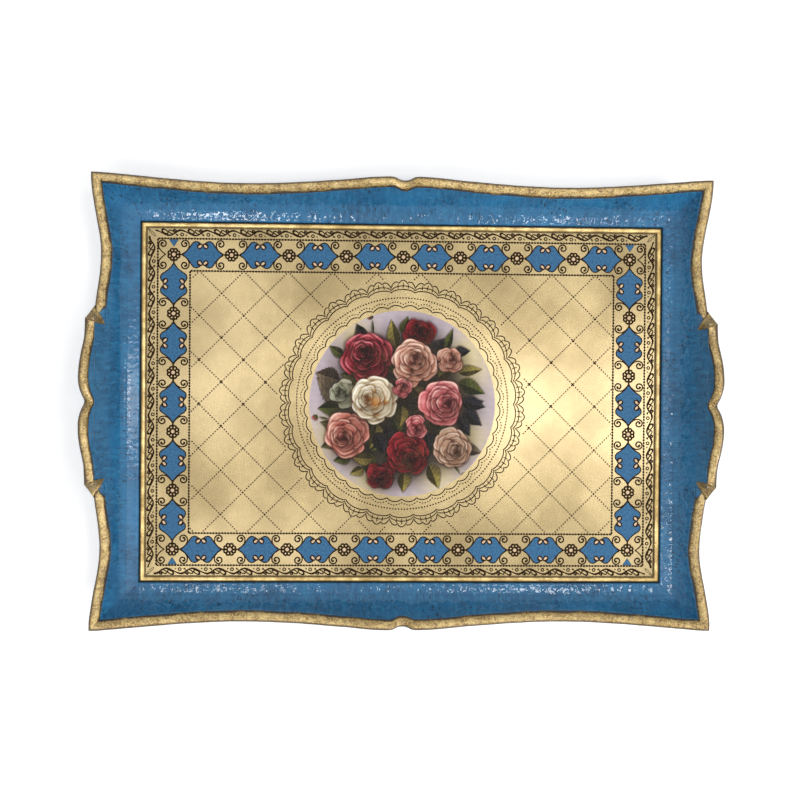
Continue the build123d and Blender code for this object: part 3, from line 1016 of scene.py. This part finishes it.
class Painter:
    """Paints soft-edged shapes, in screen colours, on a set of points."""

    def __init__(self, points, ground):
        self.x, self.y = points.T
        self.colour = np.ones((len(points), 3)) * ground
        self.random = np.random.default_rng(11)
        grain = self.random.normal(size=(6, 3))
        self.wave = sum(np.sin(self.x * a * 0.9 + self.y * b * 0.9 + c * 4) for a, b, c in grain) / 3

    def lay(self, near, cover, colour):
        self.colour[near] = blend(self.colour[near], colour, np.clip(cover, 0, 1)[:, None])

    def local(self, x, y, angle, reach):
        """The points near a place, and their coordinates along and across a direction there."""
        near = np.flatnonzero((np.abs(self.x - x) < reach) & (np.abs(self.y - y) < reach))
        dx, dy = self.x[near] - x, self.y[near] - y
        cos, sin = math.cos(angle), math.sin(angle)
        return near, dx * cos + dy * sin, -dx * sin + dy * cos

    def cloud(self, x, y, radius, colour, strength):
        near, u, v = self.local(x, y, 0, radius)
        self.lay(near, strength * np.exp(-(u**2 + v**2) / (0.32 * radius) ** 2 / 2), colour)

    def leaf(self, x, y, angle, length, width, dark, light, teeth=9):
        near, u, v = self.local(x, y, angle, length * 1.2)
        v = v + 0.12 * length * (u / length) ** 2
        t = np.clip(u / length, 0, 1)
        saw = 1 + 0.16 * (((t * teeth) % 1) - 0.5)
        edge = width * np.sin(math.pi * t**0.72) ** 1.15 * saw + 1e-6
        inside = (u > 0) & (u < length)
        shade = np.clip(0.5 + 0.35 * np.sign(v) * np.minimum(np.abs(v) / 0.3, 1) + 0.1 * self.wave[near], 0, 1)
        rib = np.exp(-((((t * 6 + np.abs(v) / width * 0.9) % 1) - 0.5) / 0.12) ** 2)
        paint = blend(dark, light, shade[:, None]) * (1 - 0.2 * rib[:, None]) * (0.75 + 0.5 * t[:, None])
        vein = (np.exp(-((v / 0.28) ** 2)) * 0.5)[:, None]
        # The shadow it throws, then the leaf.
        self.lay(near, np.clip((edge + 0.9 - np.abs(v - 0.7)) / 1.2, 0, 1) * inside * 0.4, tone(28, 26, 20))
        self.lay(near, np.clip((edge - np.abs(v)) / 0.35, 0, 1) * inside,
                 blend(paint, np.minimum(light * 1.25, 1), vein))

    def petal(self, x, y, angle, along, across, deep, middle, light, ruffle, glow):
        near, u, v = self.local(x, y, angle, max(along, across) * 1.5)
        turn = np.arctan2(v / across, u / along)
        ragged = 1 + 0.08 * np.sin(turn * 2 + ruffle) + 0.05 * np.sin(turn * 5 + ruffle * 2.1)
        away = np.hypot(u / along, v / across) / ragged
        # The shade it throws on the petals under it.
        self.lay(near, np.clip((1.25 - away) / 0.35, 0, 1) * 0.5, deep * 0.5)
        outward = np.clip((u / along + 1) / 2, 0, 1)
        veins = 0.05 * np.sin(turn * 17 + ruffle * 3) * outward + 0.06 * np.sin(v / across * 6 + ruffle)
        shade = np.clip(outward * 1.15 - 0.18 + veins + 0.06 * self.wave[near], 0, 1)[:, None]
        sunny = 0.5 + 0.5 * math.cos(angle - light_from)
        paint = blend(deep, middle, smoothstep(0.05, 0.62, shade))
        paint = blend(paint, light, smoothstep(0.55, 1.05, shade) * (0.25 + 0.65 * sunny) * glow)
        # The turned lip of the petal, lighter, broken along its length, with a dark line inside it.
        broken = np.clip(0.55 + 0.6 * np.sin(turn * 2.3 + ruffle), 0, 1)
        lip = np.exp(-(((away - 0.88) / 0.07) ** 2)) * (outward > 0.4) * broken
        paint = blend(paint, np.minimum(light * 1.06, 1), lip[:, None] * (0.25 + 0.55 * sunny) * glow)
        under = (np.exp(-(((away - 0.70) / 0.08) ** 2)) * (outward > 0.45))[:, None] * 0.28
        paint = blend(paint, deep * 0.7 + middle * 0.3, under)
        self.lay(near, np.clip((1 - away) * min(along, across) / 0.7, 0, 1), paint)

    def rose(self, x, y, radius, deep, middle, light, lean, petals):
        """Rings of overlapping petals round a dark heart that sits off the middle."""
        tilt = np.array([math.cos(lean), math.sin(lean)]) * radius * 0.11
        self.cloud(x, y - radius * 0.15, radius * 2.1, tone(30, 22, 20), 0.75)
        sizes = ((0.60, 0.44), (0.47, 0.38), (0.33, 0.31), (0.20, 0.24), (0.10, 0.17))
        for level, (count, (offset, size)) in enumerate(zip(petals, sizes)):
            start = self.random.uniform(0, 2 * math.pi)
            for k in self.random.permutation(count):
                angle = start + 2 * math.pi * k / count + self.random.uniform(-0.3, 0.3)
                grow = self.random.uniform(0.84, 1.2)
                centre_x = x + offset * radius * math.cos(angle) + tilt[0] * level * 0.7
                centre_y = y + offset * radius * math.sin(angle) + tilt[1] * level * 0.7
                facing = 1 + 0.16 * math.cos(angle - light_from)
                shade = (1 - 0.09 * level) * facing * self.random.uniform(0.9, 1.06)
                self.petal(centre_x, centre_y, angle, radius * size * grow, radius * size * 1.25 * grow,
                           np.clip(deep * shade, 0, 1), np.clip(middle * shade, 0, 1), light,
                           self.random.uniform(0, 6.3), self.random.uniform(0.6, 1.1))
        heart_x, heart_y = x + tilt[0] * 3.4, y + tilt[1] * 3.4
        near, u, v = self.local(heart_x, heart_y, 0, radius * 0.4)
        away, turn = np.hypot(u, v) / (radius * 0.2), np.arctan2(v, u)
        swirl = 0.5 + 0.5 * np.sin(turn + away * 6.0)
        self.lay(near, np.clip(1.2 - away, 0, 1) * (0.3 + 0.5 * swirl), deep * 0.6)


light_from = math.radians(118)
points, disc_faces, rim_start, rim_count = disc_mesh(disc_radius, 165)
painter = Painter(points, tone(196, 181, 190))
# Cream and yellow tints at the edge of the bunch, and deep shade inside it.
for x, y, size in ((60, 30, 44), (58, 48, 34), (-64, -30, 40), (34, -66, 42), (-44, 62, 34), (62, -30, 36),
                   (-30, -70, 34)):
    painter.cloud(x, y, size, tone(232, 214, 160), 0.75)
for x, y, size in ((0, 0, 84), (-28, 24, 60), (22, -16, 70), (-24, -32, 60), (24, 28, 60), (4, 46, 44), (2, -50, 44),
                   (46, 2, 40), (-48, 2, 34), (-36, -36, 36), (34, -34, 40)):
    painter.cloud(x, y, size, tone(34, 32, 22), 0.88)

dark_green, light_green = tone(28, 34, 18), tone(92, 96, 52)
leaf_kinds = {"g": (dark_green, light_green), "o": (tone(56, 50, 24), tone(146, 134, 80)),
              "r": (tone(58, 48, 40), tone(112, 100, 84)), "i": (tone(14, 14, 20), tone(48, 48, 58))}
# Each leaf: where it starts, its direction in degrees, length, half width and kind.
leaves = (
    (-52, 6, 152, 30, 12, "r"), (-56, 20, 168, 23, 10, "r"), (-56, -4, 188, 20, 7, "g"), (-52, 42, 152, 17, 4.5, "g"),
    (-34, 56, 122, 17, 6, "i"), (-6, 50, 106, 26, 6, "o"), (0, 62, 80, 17, 4.5, "g"), (38, 46, 78, 23, 4, "g"),
    (26, 44, 58, 19, 6, "i"), (46, 46, 12, 15, 5, "i"), (50, 28, 14, 22, 5, "o"), (50, 19, -16, 26, 7, "g"),
    (55, -3, 24, 19, 6, "i"), (52, 2, -6, 23, 7, "i"), (53, -6, -30, 23, 7, "i"), (50, -12, -52, 20, 6, "i"),
    (56, -40, -8, 16, 5, "r"), (24, -54, -62, 24, 6.5, "o"), (2, -61, -88, 19, 6, "o"), (-34, -58, -152, 14, 4.5, "o"),
    (-30, -44, -82, 22, 7, "g"), (-46, -48, -162, 16, 5, "g"), (-57, -33, -152, 17, 5, "g"),
    (-60, -20, 172, 14, 4, "g"),
    (-8, -14, -60, 18, 6, "g"), (-6, 26, 120, 22, 6, "g"), (20, 18, -30, 18, 6, "g"), (-22, -18, -100, 24, 7, "o"),
    (24, -16, -20, 24, 6, "g"), (0, -2, -90, 20, 6, "o"), (-34, 22, 175, 22, 6, "g"), (32, 24, 42, 20, 6, "o"),
    (-10, -26, -130, 24, 7, "g"), (24, -32, -34, 22, 7, "g"), (-26, -50, 180, 20, 6, "o"), (14, 50, 150, 18, 6, "g"),
    (-14, -20, -70, 22, 6, "i"), (-24, -26, -60, 22, 7, "i"), (10, 14, -40, 18, 6, "o"), (22, -24, -80, 20, 6, "i"),
)
for x, y, degrees, length, width, kind in leaves:
    painter.leaf(x, y, math.radians(degrees), length, width, *leaf_kinds[kind])
# Stalks with tight buds that stand clear of the bunch.
for x, y, degrees, length in ((-26, 62, 100, 13), (-66, -14, 172, 9), (44, -52, -48, 14)):
    turn = math.radians(degrees)
    painter.leaf(x, y, turn, length, 1.1, dark_green, light_green, 1)
    tip = (x + length * math.cos(turn), y + length * math.sin(turn))
    painter.leaf(*tip, math.radians(degrees + 14), 6.5, 2.4, tone(120, 40, 52), tone(190, 90, 96), 1)
    painter.leaf(*tip, math.radians(degrees - 12), 5.5, 1.8, dark_green, light_green, 1)

crimson = (tone(48, 8, 18), tone(128, 34, 50), tone(228, 140, 144))
dark_red = (tone(46, 8, 14), tone(112, 24, 36), tone(160, 66, 74))
peach = (tone(122, 66, 56), tone(206, 150, 130), tone(250, 220, 200))
cream = (tone(150, 98, 50), tone(218, 204, 176), tone(252, 246, 230))
pink = (tone(96, 24, 36), tone(190, 108, 110), tone(244, 196, 184))
salmon = (tone(104, 44, 42), tone(196, 124, 110), tone(244, 202, 184))
beige = (tone(104, 68, 54), tone(186, 148, 126), tone(238, 216, 194))
bud_green = (tone(92, 94, 72), tone(176, 176, 152), tone(226, 224, 204))
# Petals in each ring, from the outermost in.
few, some, many = (4, 4, 3, 3, 2), (6, 5, 4, 4, 3), (6, 6, 5, 4, 3)
# Each rose, from the back of the bunch: its place, radius, colours, lean and petals.
for x, y, radius, colours, lean, petals in (
    (14, 62, 14.5, dark_red, 1.2, few), (-19, -64, 13.5, dark_red, -1.8, few), (42, 39, 11.5, peach, 0.6, few),
    (-53, 9, 12.5, bud_green, 2.6, few), (44, -39, 17.0, beige, -0.6, some), (-48, -28, 19.5, salmon, -2.6, many),
    (5, -44, 18.5, dark_red, -1.4, some), (-32, 40, 22.0, crimson, 1.9, many), (10, 35, 20.5, peach, 1.3, many),
    (35, 0, 19.5, pink, 0.2, many), (-25, 2, 20.5, cream, 2.8, many), (12, -20, 10.5, pink, -1.2, few),
    (-1, 14, 9.0, pink, 0.9, few),
):
    painter.rose(x, y, radius, *colours, lean, petals)
# A warm glow in the cream rose's heart, and the whole print a touch deeper in its darks.
painter.cloud(-24, 1, 11, tone(204, 128, 62), 0.6)
painter.colour = np.clip(painter.colour * (1 + 0.025 * painter.wave[:, None]), 0, 1)
painter.colour = painter.colour * (0.7 + 0.3 * smoothstep(0.05, 0.6, painter.colour))

flat = np.column_stack([points, np.full(len(points), disc_top)])
# The paper's cut edge: the rim goes round and down to the sheet.
rim = flat[rim_start:rim_start + rim_count] * (1, 1, 0) + (0, 0, sheet_top)
vertices = np.vstack([flat, rim])
edge_faces = [(rim_start + k, len(flat) + k, len(flat) + (k + 1) % rim_count, rim_start + (k + 1) % rim_count)
              for k in range(rim_count)]
paint = to_linear(np.vstack([painter.colour, np.ones((rim_count, 3)) * tone(150, 138, 140)]))

medallion = make_object("rose_medallion_print", vertices, disc_faces + edge_faces, rose_print_material(),
                        colours={"painting": paint})
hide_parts("rose_medallion")


# ---- Materials of the frame's own pieces ----
steel = steel_material()
for node_name, material in (("base_board", board_material()), ("panel_print", gold_sheet_material()),
                            ("corner_v_nails", steel), ("board_pins", steel)):
    mesh = bpy.data.objects[node_name].data
    mesh.materials.clear()
    mesh.materials.append(material)


# ---- Studio: a pale floor, a soft sky, softboxes round and above the tray ----
def seen_directly(n):
    """One for camera, mirror and see-through rays, nought for the rays that light the tray."""
    rays = n.node("LightPath").outputs
    mirrored = n.math("MAXIMUM", rays["Is Glossy Ray"], rays["Is Transmission Ray"])
    return n.math("MAXIMUM", rays["Is Camera Ray"], mirrored)


def floor_material():
    """A pale floor. Camera and reflections see it lifted towards white, wholly so far from the tray."""
    material, n, place = start_material("studio_floor")
    distance = n.node("VectorMath", {0: place}, operation="LENGTH").outputs["Value"]
    lift = n.between(n.ramp(distance, 0.7, 2.2), plain_light, 0.95)
    n.surface(Base_Color=(0.86, 0.86, 0.86, 1), Roughness=0.9, Specular_IOR_Level=0.1, Emission_Color=(1, 1, 1, 1),
              Emission_Strength=n.times(seen_directly(n), lift))
    return material


plain_light = 0.42
floor_half = 6
floor_mesh = bpy.data.meshes.new("studio_floor")
floor_mesh.from_pydata([(x * floor_half, y * floor_half, 0) for x, y in ((-1, -1), (1, -1), (1, 1), (-1, 1))],
                       [], [(0, 1, 2, 3)])
floor_mesh.materials.append(floor_material())
floor = put("studio_floor", floor_mesh)
floor.location.z = -0.0005

world = bpy.data.worlds.new("studio")
world.use_nodes = True
bpy.context.scene.world = world
sky = Nodes(world.node_tree)
sky.feed(world.node_tree.nodes["Background"],
         {"Color": (1, 1, 1, 1), "Strength": sky.between(seen_directly(sky), plain_light, 1.0)})

# Each lamp: its name, place, what it points at, its two sides and its watts. The strips and windows are small and
# bright, and stand where the sheet or a wall mirrors them as the photograph shows.
for name, place, target, sides, watts in (
    ("right_strip", (0.42, 0.0, 1.2), (0.3, 0, 0), (0.16, 1.0), 2.0),
    ("left_spot", (-0.26, 0.06, 1.2), (-0.262, 0.03, 0), (0.14, 0.24), 0.24),
    ("low_left_window", (-0.2, -0.25, 1.2), (-0.2, -0.1, 0), (0.3, 0.1), 0.18),
    ("far_left_strip", (-0.72, -0.35, 1.2), (-0.2, -0.1, 0), (0.07, 0.4), 1.5),
    ("far_right_strip", (1.15, 0.0, 1.2), (0.2, 0, 0), (0.04, 1.0), 1.4),
    ("overhead_softbox", (0.85, -0.3, 1.6), (0.2, 0, 0), (0.6, 0.7), 1.0),
    ("key_softbox", (1.05, -0.95, 0.85), (0, 0, 0), (0.5, 0.5), 11),
    ("back_window", (0.3, 0.54, 1.2), (0.1, 0.2, 0), (0.18, 0.16), 1.4),
    ("back_left_window", (-0.3, 0.54, 1.2), (-0.1, 0.2, 0), (0.16, 0.12), 0.8),
    ("front_left_window", (-0.28, -0.55, 1.2), (-0.2, 0, 0), (0.12, 0.2), 1.7),
    ("front_right_window", (0.35, -0.55, 1.2), (0.2, 0, 0), (0.06, 0.2), 0.8),
):
    light = bpy.data.lights.new(name, "AREA")
    light.shape, light.energy = "RECTANGLE", watts
    light.size, light.size_y = sides
    lamp = put(name, light)
    lamp.location = place
    lamp.rotation_euler = (Vector(target) - Vector(place)).to_track_quat("-Z", "Y").to_euler()

# ---- Camera: nearly overhead, a little to the left of the middle ----
camera_data = bpy.data.cameras.new("camera")
camera_data.sensor_width = 36
camera_data.lens = 66.1
camera_data.shift_x, camera_data.shift_y = -0.024, 0.015
camera = put("camera", camera_data)
stand = Matrix.Translation((-0.047, 0.0042, 1.3178))
for degrees, axis in ((-0.505, "X"), (-2.709, "Y"), (0.407, "Z")):
    stand = stand @ Matrix.Rotation(math.radians(degrees), 4, axis)
camera.matrix_world = stand
bpy.context.scene.camera = camera
bpy.context.scene.view_settings.view_transform = "Standard"
